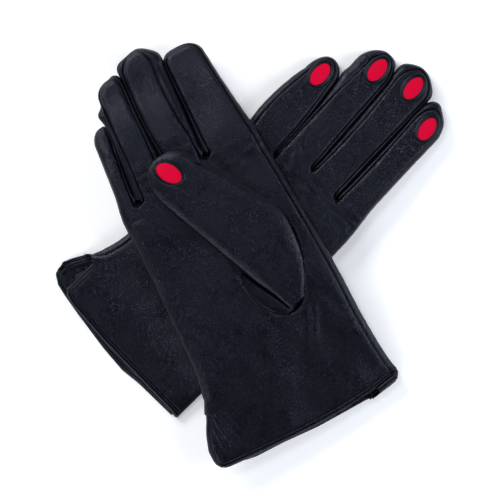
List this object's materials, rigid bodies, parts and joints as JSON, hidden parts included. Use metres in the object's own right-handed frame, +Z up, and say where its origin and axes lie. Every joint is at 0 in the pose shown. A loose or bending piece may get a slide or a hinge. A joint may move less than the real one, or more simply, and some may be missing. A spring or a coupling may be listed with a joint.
{
  "type": "pair of leather gloves",
  "caption": "Pair of thin black leather dress gloves laid crosswise, lined, with side-stripped fingers, folded thumbs and red oval insets behind the fingertips.",
  "frame": {"origin": "middle of the pair's footprint, on the surface that it lies on", "axes": "+Z up, away from the surface; the right glove on top points its fingers towards +Y and turns 27 degrees towards -X; the left glove under it turns 46 degrees towards +X"},
  "size_m": [0.2246, 0.2384, 0.0294],
  "materials": {
    "black_leather": "soft semi-matte dress leather with a fine grain",
    "red_nail": "smooth glossy red leather",
    "knit_lining": "fine brushed knit"
  },
  "bodies": {
    "left_hand": {"left_palm_panel": "black_leather", "left_back_panel": "black_leather", "left_side_strips": "black_leather", "left_cuff_hem": "black_leather", "left_hand_lining": "knit_lining"},
    "left_index_finger": {"left_index_front": "black_leather", "left_index_back": "black_leather", "left_index_fourchettes": "black_leather", "left_index_nail": "red_nail", "left_index_lining": "knit_lining"},
    "left_little_finger": {"left_little_front": "black_leather", "left_little_back": "black_leather", "left_little_fourchettes": "black_leather", "left_little_nail": "red_nail", "left_little_lining": "knit_lining"},
    "left_middle_finger": {"left_middle_front": "black_leather", "left_middle_back": "black_leather", "left_middle_fourchettes": "black_leather", "left_middle_nail": "red_nail", "left_middle_lining": "knit_lining"},
    "left_ring_finger": {"left_ring_front": "black_leather", "left_ring_back": "black_leather", "left_ring_fourchettes": "black_leather", "left_ring_nail": "red_nail", "left_ring_lining": "knit_lining"},
    "left_thumb": {"left_thumb_outer": "black_leather", "left_thumb_inner": "black_leather", "left_thumb_gussets": "black_leather", "left_thumb_nail": "red_nail"},
    "right_hand": {"right_palm_panel": "black_leather", "right_back_panel": "black_leather", "right_side_strips": "black_leather", "right_cuff_hem": "black_leather", "right_hand_lining": "knit_lining"},
    "right_index_finger": {"right_index_front": "black_leather", "right_index_back": "black_leather", "right_index_fourchettes": "black_leather", "right_index_nail": "red_nail", "right_index_lining": "knit_lining"},
    "right_little_finger": {"right_little_front": "black_leather", "right_little_back": "black_leather", "right_little_fourchettes": "black_leather", "right_little_nail": "red_nail", "right_little_lining": "knit_lining"},
    "right_middle_finger": {"right_middle_front": "black_leather", "right_middle_back": "black_leather", "right_middle_fourchettes": "black_leather", "right_middle_nail": "red_nail", "right_middle_lining": "knit_lining"},
    "right_ring_finger": {"right_ring_front": "black_leather", "right_ring_back": "black_leather", "right_ring_fourchettes": "black_leather", "right_ring_nail": "red_nail", "right_ring_lining": "knit_lining"},
    "right_thumb": {"right_thumb_outer": "black_leather", "right_thumb_inner": "black_leather", "right_thumb_gussets": "black_leather", "right_thumb_nail": "red_nail"}
  },
  "joints": [
    {"name": "right_glove_lift", "type": "slide", "parent": "left_hand", "child": "right_hand", "axis": [0, 0, 1], "range_m": [0, 0.15]},
    {"name": "right_little_fold", "type": "hinge", "parent": "right_hand", "child": "right_little_finger", "pos_m": [-0.06792, 0.02714, 0.0226], "axis": [0.9367, 0.3502, 0], "range_deg": [0, 75]},
    {"name": "right_ring_fold", "type": "hinge", "parent": "right_hand", "child": "right_ring_finger", "pos_m": [-0.06056, 0.05278, 0.0226], "axis": [0.9245, 0.3811, 0], "range_deg": [0, 75]},
    {"name": "right_middle_fold", "type": "hinge", "parent": "right_hand", "child": "right_middle_finger", "pos_m": [-0.04151, 0.06473, 0.0226], "axis": [0.9033, 0.4289, 0], "range_deg": [0, 75]},
    {"name": "right_index_fold", "type": "hinge", "parent": "right_hand", "child": "right_index_finger", "pos_m": [-0.00826, 0.06203, 0.0226], "axis": [0.878, 0.4787, 0], "range_deg": [0, 75]},
    {"name": "left_little_fold", "type": "hinge", "parent": "left_hand", "child": "left_little_finger", "pos_m": [0.01056, 0.06978, 0.013], "axis": [0.7408, -0.6717, 0], "range_deg": [0, 45]},
    {"name": "left_ring_fold", "type": "hinge", "parent": "left_hand", "child": "left_ring_finger", "pos_m": [0.02611, 0.05296, 0.013], "axis": [0.7593, -0.6508, 0], "range_deg": [0, 60]},
    {"name": "left_middle_fold", "type": "hinge", "parent": "left_hand", "child": "left_middle_finger", "pos_m": [0.04379, 0.04112, 0.013], "axis": [0.7455, -0.6665, 0], "range_deg": [0, 60]},
    {"name": "left_index_fold", "type": "hinge", "parent": "left_hand", "child": "left_index_finger", "pos_m": [0.0573, 0.02497, 0.013], "axis": [0.7361, -0.6769, 0], "range_deg": [0, 60]},
    {"name": "right_thumb_lift", "type": "hinge", "parent": "right_hand", "child": "right_thumb", "pos_m": [0.02576, -0.03006, 0.023], "axis": [0.7254, 0.6884, 0], "range_deg": [0, 50]},
    {"name": "left_thumb_swing", "type": "hinge", "parent": "left_hand", "child": "left_thumb", "pos_m": [-0.01392, -0.02796, 0.0016], "axis": [0, 0, -1], "range_deg": [0, 60]}
  ]
}
